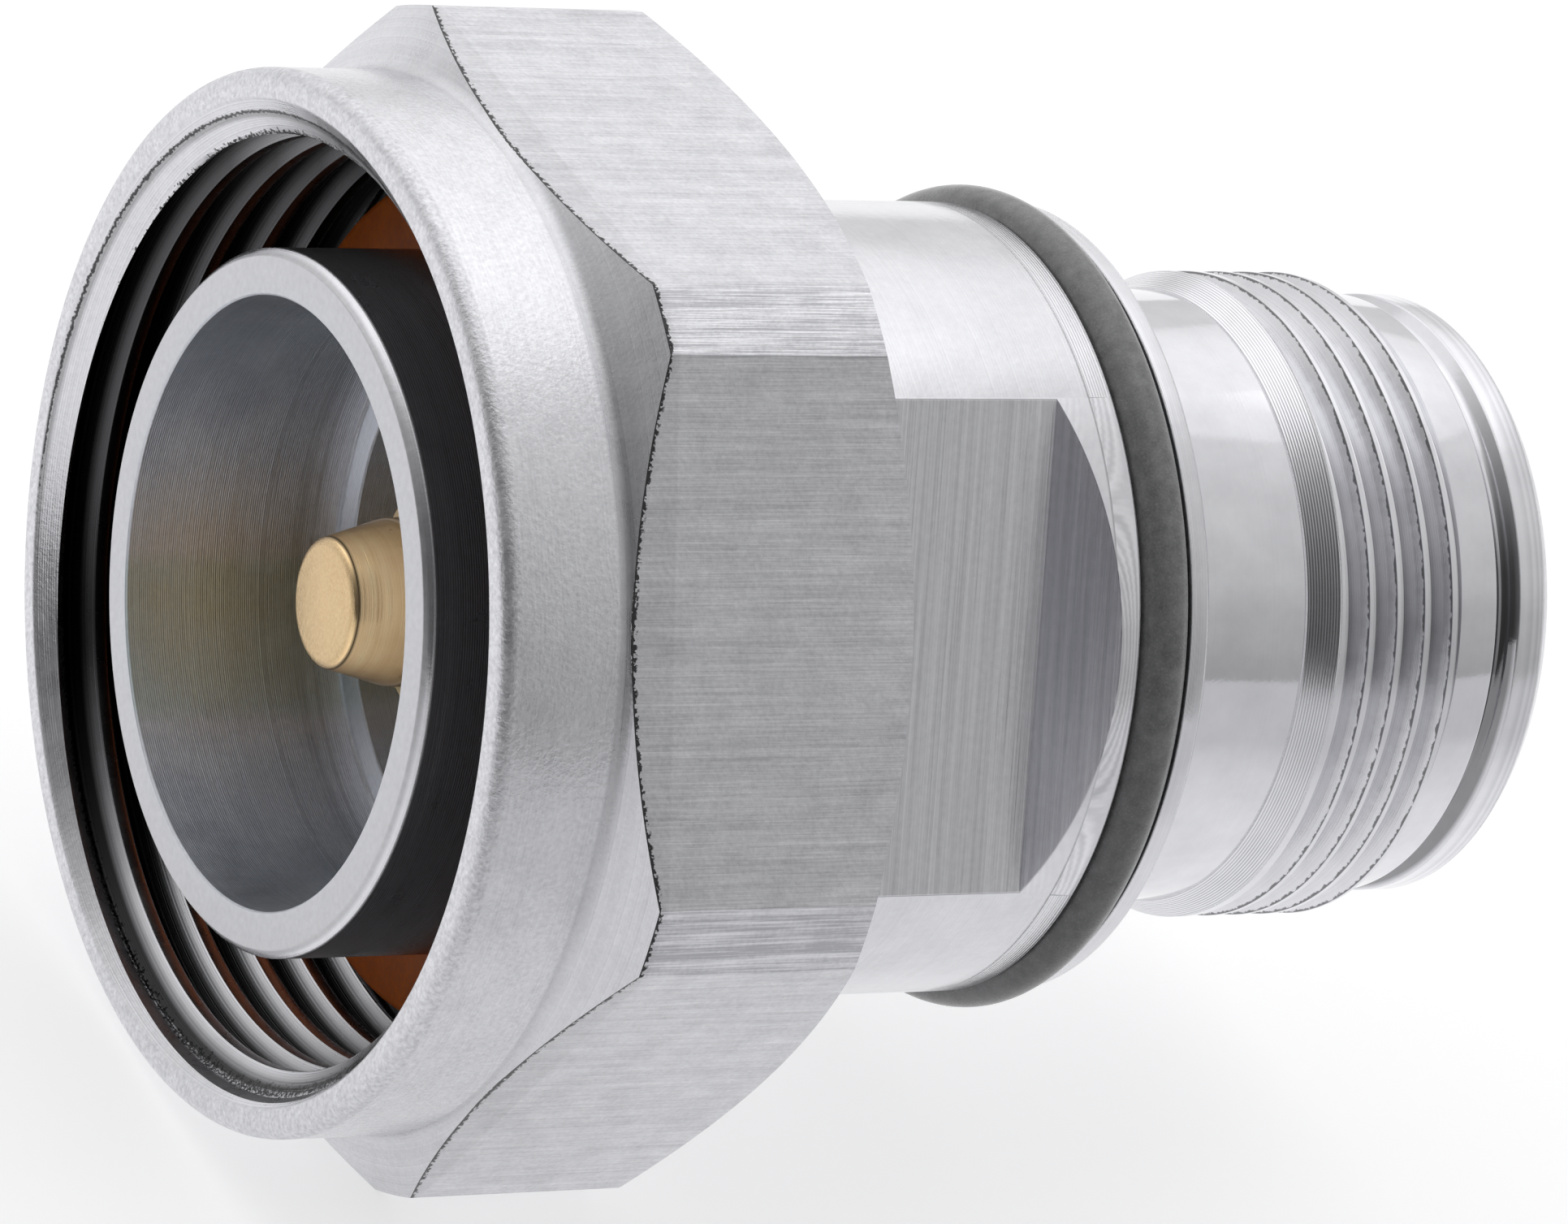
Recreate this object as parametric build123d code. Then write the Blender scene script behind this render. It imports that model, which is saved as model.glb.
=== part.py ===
"""Coaxial adapter: a plug with a hexagon coupling nut at one end, a smaller threaded jack at the other.

Millimetres. The origin is the centre of the plug's front contact face, +X runs along the axis
towards the jack and +Z is up. The coupling nut lies with one of its flats facing down.
"""
from build123d import *
import math
import os

# Running and seating clearances, each per side
SEAT_GAP = 0.02
STOP_GAP = 0.05
RING_GAP = 0.10
NUT_GAP = 0.22

# Threads have 60 degree flanks; their cutters reach past the crest by an overcut
THREAD_FLANK_ANGLE = 30.0
THREAD_ROOT_SHARE = 0.14
THREAD_OVERCUT = 0.3

# Outer contact of the plug: a plain tube that the mating jack slides into
CONTACT_BORE_D = 18.03
CONTACT_WALL = 1.385
CONTACT_OUTER_CHAMFER = 0.26
CONTACT_MOUTH_CHAMFER = 0.2
REFERENCE_DEPTH = 7.1
LINE_BORE_D = 16.0

# Centre pin of the plug and the stud behind it
PIN_D = 5.0
PIN_TIP_D = 3.8
PIN_TIP_SETBACK = 2.04
PIN_TAPER_LENGTH = 2.1
PIN_TIP_CHAMFER = 0.12
PIN_SHOULDER_D = 7.0
PIN_SHOULDER_LEAD = 1.48
STUD_D = 3.0
STUD_GRIP = 5.0

# Face gasket on its seat around the tube
GASKET_FRONT = 6.0
GASKET_THICKNESS = 1.6
GASKET_WIDTH = 2.48
GASKET_SEAT_DEPTH = 0.2

# Plug body: the collar that the nut pulls on, the barrel and its spanner flats
COLLAR_RIM = 0.25
COLLAR_THICKNESS = 1.6
COLLAR_CHAMFER = 0.3
BARREL_STEP = 0.92
BARREL_END = 22.85
BARREL_EDGE = 0.08
FLAT_DEPTH = 2.53
FLAT_LAND = 0.85
FLAT_LENGTH = 8.0
FLAT_RUNOUT = 1.3
FLAT_ANGLE = 24.3

# Coupling nut: M29x1.5 inside, 31.5 mm across its flats
NUT_LEAD = 0.37
NUT_THREAD_GAP = 0.75
NUT_THREAD_LENGTH = 7.45
NUT_THREAD_PITCH = 1.5
NUT_THREAD_DEPTH = 0.8
NUT_THREAD_CLOCK = 163.0
NUT_MOUTH_FLARE = 1.08
NUT_MOUTH_DEPTH = 0.8
NUT_RIM_WIDTH = 0.88
NUT_RIM_ROUND = 0.45
NUT_COLLAR_LENGTH = 3.97
NUT_COLLAR_ROUND = 0.47
NUT_RELIEF_DEPTH = 1.0
NUT_FLAT_WALL = 1.05
NUT_CORNER_RISE = 1.825
NUT_BEVEL_ANGLE = 30.0
NUT_LIP_WALL = 1.0
NUT_REAR_WALL = 1.45
NUT_REAR_DROP = 0.5
NUT_REAR_CHAMFER = 0.3
NUT_PLAY_FORWARD = 0.3
NUT_PLAY_BACK = 0.4

# Split retaining ring that keeps the nut on the body
RING_THICKNESS = 1.0
RING_OVERLAP = 0.9
RING_WIDTH = 1.9
RING_SPLIT = 6.0

# Plug insulator and its pocket
PLUG_BEAD_FRONT = 13.4
PLUG_BEAD_LENGTH = 3.8
POCKET_STEP = 0.3

# Weather seal: an O-ring between barrel and flange
SEAL_SECTION_D = 1.54
SEAL_SIDE_GAP = 0.08
SEAL_NECK_DEPTH = 1.03

# Jack body outside: flange, undercut, M20x1 thread and grooved neck
FLANGE_STEP = 0.07
FLANGE_THICKNESS = 0.65
FLANGE_EDGE = 0.12
UNDERCUT_DEPTH = 0.55
UNDERCUT_LENGTH = 5.1
THREAD_RISE_LENGTH = 0.92
JACK_THREAD_D = 20.0
JACK_THREAD_LENGTH = 4.33
JACK_THREAD_PITCH = 1.0
JACK_THREAD_DEPTH = 0.61
JACK_THREAD_CLOCK = 43.0
THREAD_FALL_LENGTH = 0.5
JACK_NECK_DEPTH = 0.65
JACK_NECK_LENGTH = 3.45
GROOVE_SETBACK = 1.32
GROOVE_WIDTH = 0.84
GROOVE_DEPTH = 0.32
JACK_END_CHAMFER = 0.42

# Jack body inside: shell, contact tube and line
JACK_SHELL_WALL = 1.3
JACK_SHELL_DEPTH = 8.5
JACK_MOUTH_CHAMFER = 0.25
JACK_LINE_BORE_D = 10.1
JACK_CONTACT_STEP = 0.55
JACK_CONTACT_WALL = 0.8
JACK_CONTACT_SETBACK = 0.9
JACK_CONTACT_CHAMFER = 0.2

# Jack insulator and socket
JACK_BEAD_SETBACK = 9.5
JACK_BEAD_LENGTH = 2.5
SOCKET_D = 4.3
SOCKET_SETBACK = 1.6
SOCKET_BORE_D = 1.7
SOCKET_BORE_DEPTH = 6.0
SOCKET_CHAMFER = 0.2
SOCKET_SLOTS = 4
SOCKET_SLOT_WIDTH = 0.25
SOCKET_SLOT_LENGTH = 5.2

# Stations along the axis that follow from the sizes above
collar_front = GASKET_FRONT + GASKET_THICKNESS
collar_rear = collar_front + COLLAR_THICKNESS
lip_front = collar_rear + NUT_PLAY_FORWARD + STOP_GAP
ring_front = lip_front + NUT_LIP_WALL + STOP_GAP
ring_rear = ring_front + RING_THICKNESS
bed_front = ring_front - NUT_PLAY_FORWARD - STOP_GAP
bed_rear = ring_rear + NUT_PLAY_BACK + STOP_GAP
bead_rear = PLUG_BEAD_FRONT + PLUG_BEAD_LENGTH
stud_end = bead_rear + STUD_GRIP
flange_front = BARREL_END + SEAL_SECTION_D + 2 * SEAL_SIDE_GAP
flange_rear = flange_front + FLANGE_THICKNESS
rise_start = flange_rear + UNDERCUT_LENGTH
thread_start = rise_start + THREAD_RISE_LENGTH
thread_end = thread_start + JACK_THREAD_LENGTH
neck_start = thread_end + THREAD_FALL_LENGTH
jack_end = neck_start + JACK_NECK_LENGTH
jack_bead_rear = jack_end - JACK_BEAD_SETBACK
socket_front = jack_end - SOCKET_SETBACK

# Radii that more than one piece uses
contact_r = CONTACT_BORE_D / 2 + CONTACT_WALL
gasket_seat_r = contact_r - GASKET_SEAT_DEPTH
gasket_inner_r = gasket_seat_r + SEAT_GAP
gasket_outer_r = gasket_inner_r + GASKET_WIDTH
collar_r = gasket_outer_r + COLLAR_RIM
barrel_r = collar_r - BARREL_STEP
pocket_r = LINE_BORE_D / 2 + POCKET_STEP
lip_bore_r = barrel_r + NUT_GAP
ring_outer_r = lip_bore_r + RING_OVERLAP
ring_inner_r = ring_outer_r - RING_WIDTH
seal_neck_r = barrel_r - SEAL_NECK_DEPTH
jack_line_r = JACK_LINE_BORE_D / 2
jack_contact_bore_r = jack_line_r + JACK_CONTACT_STEP


def profile(*points):
    """Closed outline in the half plane through the axis, as (along the axis, radius) points."""
    return make_face(Polyline(*points, close=True))


def rounded(outline, corner, radius):
    """The outline with the corner nearest to a point rounded."""
    return fillet(outline.vertices().sort_by_distance((*corner, 0))[0], radius)


def turned(outline):
    """Solid of revolution about the adapter's axis."""
    return revolve(outline, Axis.X, 360)


def sleeve(start, end, inner_r, outer_r):
    """Outline of a plain ring."""
    return profile((start, inner_r), (end, inner_r), (end, outer_r), (start, outer_r))


def thread_cutter(start, end, crest_r, root_r, pitch, clock):
    """Right-handed helical groove with 60 degree flanks, to cut away between two stations."""
    outward = math.copysign(1, root_r - crest_r)
    lip_r = crest_r - outward * THREAD_OVERCUT
    root_half = THREAD_ROOT_SHARE * pitch / 2
    lip_half = root_half + abs(root_r - lip_r) * math.tan(math.radians(THREAD_FLANK_ANGLE))
    tooth = profile((-root_half, root_r), (root_half, root_r), (lip_half, lip_r), (-lip_half, lip_r))
    helix = Rot(0, 90, 0) * Helix(pitch=pitch, height=end - start, radius=crest_r)
    groove = sweep(Rot(-90, 0, 0) * tooth, path=helix, is_frenet=True)
    return Pos(start, 0, 0) * Rot(clock, 0, 0) * groove


def plug_body():
    """Outer contact, gasket seat, collar and barrel, turned in one piece, with two spanner flats."""
    bore_r = CONTACT_BORE_D / 2
    line_r = LINE_BORE_D / 2
    bed_r = ring_inner_r - RING_OVERLAP - STOP_GAP
    outline = profile(
        (0, bore_r + CONTACT_MOUTH_CHAMFER),
        (0, contact_r - CONTACT_OUTER_CHAMFER),
        (CONTACT_OUTER_CHAMFER, contact_r),
        (GASKET_FRONT, contact_r),
        (GASKET_FRONT, gasket_seat_r),
        (collar_front, gasket_seat_r),
        (collar_front, collar_r - COLLAR_CHAMFER),
        (collar_front + COLLAR_CHAMFER, collar_r),
        (collar_rear, collar_r),
        (collar_rear, barrel_r),
        (bed_front, barrel_r),
        (bed_front, bed_r),
        (bed_rear, bed_r),
        (bed_rear, barrel_r),
        (BARREL_END - BARREL_EDGE, barrel_r),
        (BARREL_END, barrel_r - BARREL_EDGE),
        (BARREL_END, pocket_r),
        (PLUG_BEAD_FRONT, pocket_r),
        (PLUG_BEAD_FRONT, line_r),
        (REFERENCE_DEPTH, line_r),
        (REFERENCE_DEPTH, bore_r),
        (CONTACT_MOUTH_CHAMFER, bore_r),
    )
    body = turned(outline)
    for side in (0, 180):
        body -= Rot(side - FLAT_ANGLE, 0, 0) * flat_cutter()
    return body


def flat_cutter():
    """What the milling cutter takes off for one spanner flat, on the -Y side of the barrel."""
    start = bed_rear + FLAT_LAND
    end = start + FLAT_LENGTH
    flat_y = FLAT_DEPTH - barrel_r
    clear_y = -2 * barrel_r
    slope = FLAT_RUNOUT / FLAT_DEPTH
    outline = make_face(
        Polyline(
            (start, flat_y),
            (end, flat_y),
            (end + slope * (flat_y - clear_y), clear_y),
            (start, clear_y),
            close=True,
        )
    )
    return extrude(outline, 2 * barrel_r, both=True)


def coupling_nut():
    """Hexagon nut with a round front collar, bored to its thread's minor diameter."""
    front = -NUT_LEAD
    thread_r = collar_r + NUT_THREAD_GAP
    mouth_r = thread_r + NUT_MOUTH_FLARE
    relief_r = thread_r + NUT_RELIEF_DEPTH
    relief_start = front + NUT_THREAD_LENGTH
    rim_r = mouth_r + NUT_RIM_WIDTH
    flat_r = relief_r + NUT_FLAT_WALL
    corner_r = flat_r + NUT_CORNER_RISE
    hex_front = front + NUT_COLLAR_LENGTH
    groove_front = ring_front - STOP_GAP
    groove_rear = ring_rear + STOP_GAP
    groove_r = ring_outer_r + RING_GAP
    rear = groove_rear + NUT_REAR_WALL
    rear_face_r = flat_r - NUT_REAR_DROP
    slope = math.tan(math.radians(NUT_BEVEL_ANGLE))
    outline = profile(
        (front, mouth_r),
        (front, rim_r),
        (hex_front, rim_r),
        (hex_front + slope * (corner_r - rim_r), corner_r),
        (rear - slope * (corner_r - rear_face_r), corner_r),
        (rear, rear_face_r),
        (rear, lip_bore_r + NUT_REAR_CHAMFER),
        (rear - NUT_REAR_CHAMFER, lip_bore_r),
        (groove_rear, lip_bore_r),
        (groove_rear, groove_r),
        (groove_front, groove_r),
        (groove_front, lip_bore_r),
        (lip_front, lip_bore_r),
        (lip_front, relief_r),
        (relief_start + NUT_RELIEF_DEPTH, relief_r),
        (relief_start, thread_r),
        (front + NUT_MOUTH_DEPTH, thread_r),
    )
    rim_round = min(NUT_RIM_ROUND, NUT_RIM_WIDTH / 2)
    collar_round = min(NUT_COLLAR_ROUND, (corner_r - rim_r) / 2)
    outline = rounded(outline, (front, rim_r), rim_round)
    outline = rounded(outline, (hex_front, rim_r), collar_round)
    hexagon = RegularPolygon(flat_r, 6, major_radius=False, rotation=30)
    prism = extrude(Pos(hex_front, 0, 0) * Rot(0, 90, 0) * hexagon, rear - hex_front, dir=(1, 0, 0))
    collar = turned(sleeve(front, hex_front, 0, flat_r))
    blank = turned(outline) & (prism + collar)
    return blank - thread_cutter(
        front - NUT_THREAD_PITCH,
        relief_start + NUT_RELIEF_DEPTH + NUT_THREAD_PITCH / 3,
        thread_r,
        thread_r + NUT_THREAD_DEPTH,
        NUT_THREAD_PITCH,
        NUT_THREAD_CLOCK,
    )


def retaining_ring():
    """Flat snap ring, split at the top, that sits in the nut's groove and the body's bed."""
    ring = turned(sleeve(ring_front, ring_rear, ring_inner_r, ring_outer_r))
    split = Pos((ring_front + ring_rear) / 2, 0, ring_outer_r) * Box(RING_WIDTH, RING_SPLIT, ring_outer_r)
    return ring - split


def face_gasket():
    """Silicone gasket that the mating connector presses on."""
    return turned(sleeve(GASKET_FRONT, collar_front - SEAT_GAP, gasket_inner_r, gasket_outer_r))


def plug_pin():
    """Centre pin, its shoulder in front of the reference plane and the stud behind it."""
    tip_r = PIN_TIP_D / 2
    pin_r = PIN_D / 2
    shoulder_r = PIN_SHOULDER_D / 2
    stud_r = STUD_D / 2
    shoulder = REFERENCE_DEPTH - PIN_SHOULDER_LEAD
    bead_face = PLUG_BEAD_FRONT - SEAT_GAP
    outline = profile(
        (PIN_TIP_SETBACK, 0),
        (PIN_TIP_SETBACK, tip_r - PIN_TIP_CHAMFER),
        (PIN_TIP_SETBACK + PIN_TIP_CHAMFER, tip_r),
        (PIN_TIP_SETBACK + PIN_TAPER_LENGTH, pin_r),
        (shoulder, pin_r),
        (shoulder, shoulder_r),
        (bead_face, shoulder_r),
        (bead_face, stud_r),
        (stud_end, stud_r),
        (stud_end, 0),
    )
    return turned(outline)


def plug_insulator():
    """Disc that holds the pin in the plug body's pocket."""
    hole_r = STUD_D / 2 + SEAT_GAP
    return turned(sleeve(PLUG_BEAD_FRONT, bead_rear - SEAT_GAP, hole_r, pocket_r - SEAT_GAP))


def jack_body():
    """Spigot, seal neck, flange, threaded shell and inner contact tube, turned in one piece."""
    thread_r = JACK_THREAD_D / 2
    neck_r = thread_r - JACK_NECK_DEPTH
    undercut_r = thread_r - UNDERCUT_DEPTH
    shell_r = neck_r - JACK_SHELL_WALL
    shell_floor = jack_end - JACK_SHELL_DEPTH
    contact_front = jack_end - JACK_CONTACT_SETBACK
    inner_contact_r = jack_contact_bore_r + JACK_CONTACT_WALL
    flange_r = barrel_r + FLANGE_STEP
    spigot_r = pocket_r - SEAT_GAP
    outline = profile(
        (bead_rear, jack_line_r),
        (bead_rear, spigot_r),
        (BARREL_END, spigot_r),
        (BARREL_END, seal_neck_r),
        (flange_front, seal_neck_r),
        (flange_front, flange_r),
        (flange_rear - FLANGE_EDGE, flange_r),
        (flange_rear, flange_r - FLANGE_EDGE),
        (flange_rear, undercut_r),
        (rise_start, undercut_r),
        (thread_start, thread_r),
        (thread_end, thread_r),
        (neck_start, neck_r),
        (jack_end - JACK_END_CHAMFER, neck_r),
        (jack_end, neck_r - JACK_END_CHAMFER),
        (jack_end, shell_r + JACK_MOUTH_CHAMFER),
        (jack_end - JACK_MOUTH_CHAMFER, shell_r),
        (shell_floor, shell_r),
        (shell_floor, inner_contact_r),
        (contact_front - JACK_CONTACT_CHAMFER, inner_contact_r),
        (contact_front, inner_contact_r - JACK_CONTACT_CHAMFER),
        (contact_front, jack_contact_bore_r + JACK_CONTACT_CHAMFER),
        (contact_front - JACK_CONTACT_CHAMFER, jack_contact_bore_r),
        (jack_bead_rear, jack_contact_bore_r),
        (jack_bead_rear, jack_line_r),
    )
    return turned(outline - neck_groove(neck_r)) - thread_cutter(
        thread_start + JACK_THREAD_PITCH / 12,
        neck_start + JACK_THREAD_PITCH / 2,
        thread_r,
        thread_r - JACK_THREAD_DEPTH,
        JACK_THREAD_PITCH,
        JACK_THREAD_CLOCK,
    )


def neck_groove(neck_r):
    """Round-bottomed groove of the jack's neck, as a circle to take off the outline."""
    half = GROOVE_WIDTH / 2
    radius = (half**2 + GROOVE_DEPTH**2) / (2 * GROOVE_DEPTH)
    return Pos(jack_end - GROOVE_SETBACK - half, neck_r - GROOVE_DEPTH + radius) * Circle(radius)


def jack_insulator():
    """Disc that centres the socket in the jack's contact tube."""
    hole_r = SOCKET_D / 2 + SEAT_GAP
    start = jack_bead_rear + SEAT_GAP
    return turned(sleeve(start, start + JACK_BEAD_LENGTH, hole_r, jack_contact_bore_r - SEAT_GAP))


def jack_socket():
    """Slotted socket of the jack, screwed on the pin's stud."""
    outer_r = SOCKET_D / 2
    bore_r = SOCKET_BORE_D / 2
    stud_hole_r = STUD_D / 2 + SEAT_GAP
    bore_floor = socket_front - SOCKET_BORE_DEPTH
    outline = profile(
        (bead_rear, stud_hole_r),
        (bead_rear, outer_r),
        (socket_front - SOCKET_CHAMFER, outer_r),
        (socket_front, outer_r - SOCKET_CHAMFER),
        (socket_front, bore_r + SOCKET_CHAMFER),
        (socket_front - SOCKET_CHAMFER, bore_r),
        (bore_floor, bore_r),
        (bore_floor, 0),
        (stud_end + STOP_GAP, 0),
        (stud_end + STOP_GAP, stud_hole_r),
    )
    socket = turned(outline)
    slot = Box(SOCKET_SLOT_LENGTH, SOCKET_SLOT_WIDTH, SOCKET_D, align=(Align.MAX, Align.CENTER, Align.MIN))
    for index in range(SOCKET_SLOTS):
        socket -= Rot(index * 360 / SOCKET_SLOTS, 0, 0) * Pos(socket_front, 0, 0) * slot
    return socket


def weather_seal():
    """O-ring in the groove in front of the flange."""
    section_r = SEAL_SECTION_D / 2
    centre_r = seal_neck_r + SEAT_GAP + section_r
    return turned(Pos((BARREL_END + flange_front) / 2, centre_r) * Circle(section_r))


pieces = (
    coupling_nut,
    retaining_ring,
    face_gasket,
    plug_body,
    plug_pin,
    plug_insulator,
    jack_body,
    jack_insulator,
    jack_socket,
    weather_seal,
)

os.makedirs("parts", exist_ok=True)
for piece in pieces:
    export_step(piece(), f"parts/{piece.__name__}.step")
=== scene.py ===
import bmesh
import bpy
import math
from mathutils import Matrix, Vector


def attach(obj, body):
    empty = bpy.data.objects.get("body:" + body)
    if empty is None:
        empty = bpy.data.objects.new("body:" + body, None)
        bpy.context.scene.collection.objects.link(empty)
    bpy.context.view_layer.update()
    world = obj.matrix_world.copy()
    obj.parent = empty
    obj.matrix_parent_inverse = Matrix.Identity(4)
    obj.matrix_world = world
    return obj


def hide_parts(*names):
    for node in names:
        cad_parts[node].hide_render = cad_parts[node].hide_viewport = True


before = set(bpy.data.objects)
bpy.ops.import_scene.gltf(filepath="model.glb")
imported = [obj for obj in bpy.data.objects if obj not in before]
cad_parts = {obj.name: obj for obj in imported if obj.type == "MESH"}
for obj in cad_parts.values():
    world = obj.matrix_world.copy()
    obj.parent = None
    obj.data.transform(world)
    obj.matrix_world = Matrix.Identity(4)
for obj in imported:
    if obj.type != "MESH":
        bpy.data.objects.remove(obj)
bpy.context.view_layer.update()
print("frame loaded:", len(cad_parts), "nodes")

mm = 0.001
axle = (1, 0, 0)  # every turned piece is spun about the adapter's own axis
fullTurn = 2 * math.pi
mergeDistance = 4e-7  # metres
slimEdge = 1e-8  # metres
endSnap = 0.012  # millimetres: a thread's points this near its ends are put on them
sharpAngle = 24  # degrees between two faces, past which their edge is drawn crisp


def wire(bm, points, closed=False, segments=5):
    # points are (x, radius) or (x, radius, cut) in millimetres; a cut rounds that corner
    verts = [bm.verts.new((point[0] * mm, 0, point[1] * mm)) for point in points]
    for first, second in zip(verts, verts[1:]):
        bm.edges.new((first, second))
    if closed:
        bm.edges.new((verts[-1], verts[0]))
    for vert, point in zip(verts, points):
        if len(point) > 2:
            bmesh.ops.bevel(
                bm, geom=[vert], offset=point[2] * mm, offset_type="OFFSET", segments=segments,
                profile=0.5, affect="VERTICES", material=-1,
            )


def turned(points, columns, closed=False, segments=5):
    bm = bmesh.new()
    wire(bm, points, closed, segments)
    bmesh.ops.spin(
        bm, geom=bm.verts[:] + bm.edges[:], cent=(0, 0, 0), axis=axle,
        angle=fullTurn, steps=columns, use_merge=True,
    )
    return bm


def meshOf(bm, name):
    # makes a bmesh a mesh, and frees it
    mesh = bpy.data.meshes.new(name)
    bm.to_mesh(mesh)
    bm.free()
    return mesh


def join(bm, other):
    # puts the second bmesh into the first
    mesh = meshOf(other, "joined")
    bm.from_mesh(mesh)
    bpy.data.meshes.remove(mesh)


def threadOn(bm, tooth, pitch, start, end, columns, phase, shape):
    # a one-pitch tooth is spun along a helix, then trimmed to the stretch from start to end
    coil = bmesh.new()
    offset = start - pitch - phase * pitch
    wire(coil, [(offset + point[0], *point[1:]) for point in tooth], segments=2)
    bmesh.ops.spin(
        coil, geom=coil.verts[:] + coil.edges[:], cent=(0, 0, 0), axis=axle,
        dvec=(pitch * mm / columns, 0, 0), angle=fullTurn, steps=columns, use_merge=False,
    )
    oneTurn = coil.verts[:] + coil.edges[:] + coil.faces[:]
    for turn in range(1, math.ceil((end - start) / pitch + phase) + 1):
        copied = bmesh.ops.duplicate(coil, geom=oneTurn)["geom"]
        verts = [item for item in copied if isinstance(item, bmesh.types.BMVert)]
        bmesh.ops.translate(coil, verts=verts, vec=(turn * pitch * mm, 0, 0))
    for vert in coil.verts:
        radius = math.hypot(vert.co.y, vert.co.z)
        x = vert.co.x / mm
        x = start if x < start + endSnap else end if x > end - endSnap else x
        scale = shape(x, radius / mm) * mm / radius
        vert.co = (x * mm, vert.co.y * scale, vert.co.z * scale)
    bmesh.ops.remove_doubles(coil, verts=coil.verts[:], dist=mergeDistance)
    join(bm, coil)


def inScene(name, data):
    item = bpy.data.objects.new(name, data)
    bpy.context.scene.collection.objects.link(item)
    return item


def smoothed(mesh, sharp):
    for face in mesh.polygons:
        face.use_smooth = True
    mesh.set_sharp_from_angle(angle=math.radians(sharp))


def finished(bm, name, body, node, material, sharp=sharpAngle):
    # makes a bmesh one piece of the model, in place of a node of the frame
    bmesh.ops.remove_doubles(bm, verts=bm.verts[:], dist=mergeDistance)
    bmesh.ops.dissolve_degenerate(bm, edges=bm.edges[:], dist=slimEdge)
    bmesh.ops.recalc_face_normals(bm, faces=bm.faces[:])
    mesh = meshOf(bm, name)
    piece = inScene(name, mesh)
    mesh.materials.append(material)
    smoothed(mesh, sharp)
    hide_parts(node)
    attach(piece, body)
    print("made", name, len(mesh.polygons), "faces")
    return piece


def cutAway(piece, cutter, sharp=sharpAngle):
    # takes the cutter's shape off the piece, and throws the cutter away
    bmesh.ops.recalc_face_normals(cutter, faces=cutter.faces[:])
    tool = inScene("cutter", meshOf(cutter, "cutter"))
    cut = piece.modifiers.new("cut", "BOOLEAN")
    cut.operation = "DIFFERENCE"
    cut.solver = "EXACT"
    cut.object = tool
    bpy.context.view_layer.update()
    shaped = bpy.data.meshes.new_from_object(piece.evaluated_get(bpy.context.evaluated_depsgraph_get()))
    piece.modifiers.remove(cut)
    piece.data = shaped
    bpy.data.objects.remove(tool)
    smoothed(shaped, sharp)


def cutThread(piece, groove, pitch, start, turns, columns, runIn):
    # a groove's closed outline runs along a helix and is cut out of the piece; it starts on the side
    # away from the camera, and sinks into the metal over its first runIn columns
    coil = bmesh.new()
    wire(coil, [(start + point[0], *point[1:]) for point in groove], closed=True, segments=2)
    outline = len(coil.verts)
    angle = math.pi / columns - math.pi / 2  # half a column off, so that no two edges coincide
    bmesh.ops.rotate(coil, cent=(0, 0, 0), matrix=Matrix.Rotation(angle, 3, "X"), verts=coil.verts[:])
    bmesh.ops.spin(
        coil, geom=coil.verts[:] + coil.edges[:], cent=(0, 0, 0), axis=axle,
        dvec=(pitch * mm / columns, 0, 0), angle=fullTurn * turns,
        steps=round(columns * turns), use_merge=False,
    )
    bmesh.ops.holes_fill(coil, edges=coil.edges[:], sides=0)
    depth = max(point[1] for point in groove) - min(point[1] for point in groove)
    for index, vert in enumerate(coil.verts):
        lift = max(0, 1 - (index // outline) / runIn) * depth * mm
        scale = 1 + lift / math.hypot(vert.co.y, vert.co.z)
        vert.co = (vert.co.x, vert.co.y * scale, vert.co.z * scale)
    cutAway(piece, coil)


def put(tree, kind, values=None, **settings):
    # a new node; a value that is a socket is linked, anything else is set
    item = tree.nodes.new(kind)
    for key, value in settings.items():
        setattr(item, key, value)
    for key, value in (values or {}).items():
        if isinstance(value, bpy.types.NodeSocket):
            tree.links.new(value, item.inputs[key])
        else:
            item.inputs[key].default_value = value
    return item


def sums(tree, operation, *values):
    return put(tree, "ShaderNodeMath", dict(enumerate(values)), operation=operation).outputs[0]


def total(tree, *values):
    result = values[0]
    for value in values[1:]:
        result = sums(tree, "ADD", result, value)
    return result


def product(tree, *values):
    result = values[0]
    for value in values[1:]:
        result = sums(tree, "MULTIPLY", result, value)
    return result


def away(tree, value, middle):
    return sums(tree, "ABSOLUTE", sums(tree, "SUBTRACT", value, middle))


def swing(tree, value, amount=1.0, around=0.0):
    # a noise value's distance from its middle, made larger and put on top of another value
    return sums(tree, "MULTIPLY_ADD", sums(tree, "SUBTRACT", value, 0.5), amount, around)


def spread(tree, value, low, high, toLow=0.0, toHigh=1.0):
    places = {"Value": value, "From Min": low, "From Max": high, "To Min": toLow, "To Max": toHigh}
    return put(tree, "ShaderNodeMapRange", places).outputs["Result"]


def falling(tree, value, low, high):
    return spread(tree, value, low, high, 1.0, 0.0)


def blended(tree, first, second, factor):
    values = {"Factor": factor, "A": first, "B": second}
    return put(tree, "ShaderNodeMix", values, data_type="FLOAT").outputs[0]


def stretch(tree, along, start, end, soft=0.04):
    # 1 between two stations along the axis, 0 elsewhere
    rise = spread(tree, along, start - soft, start + soft)
    return product(tree, rise, falling(tree, along, end - soft, end + soft))


def mixed(tree, first, second, factor=1.0, blend="MIX"):
    # inputs 6 and 7 of a colour mix are its two colours
    values = {"Factor": factor, 6: first, 7: second}
    return put(tree, "ShaderNodeMix", values, data_type="RGBA", blend_type=blend).outputs[2]


def coloured(tree, factor, dark, light):
    return mixed(tree, (*dark, 1), (*light, 1), factor)


def objectPlace(tree):
    return put(tree, "ShaderNodeTexCoord").outputs["Object"]


def apart(tree, vector):
    return put(tree, "ShaderNodeSeparateXYZ", {0: vector}).outputs


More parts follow.
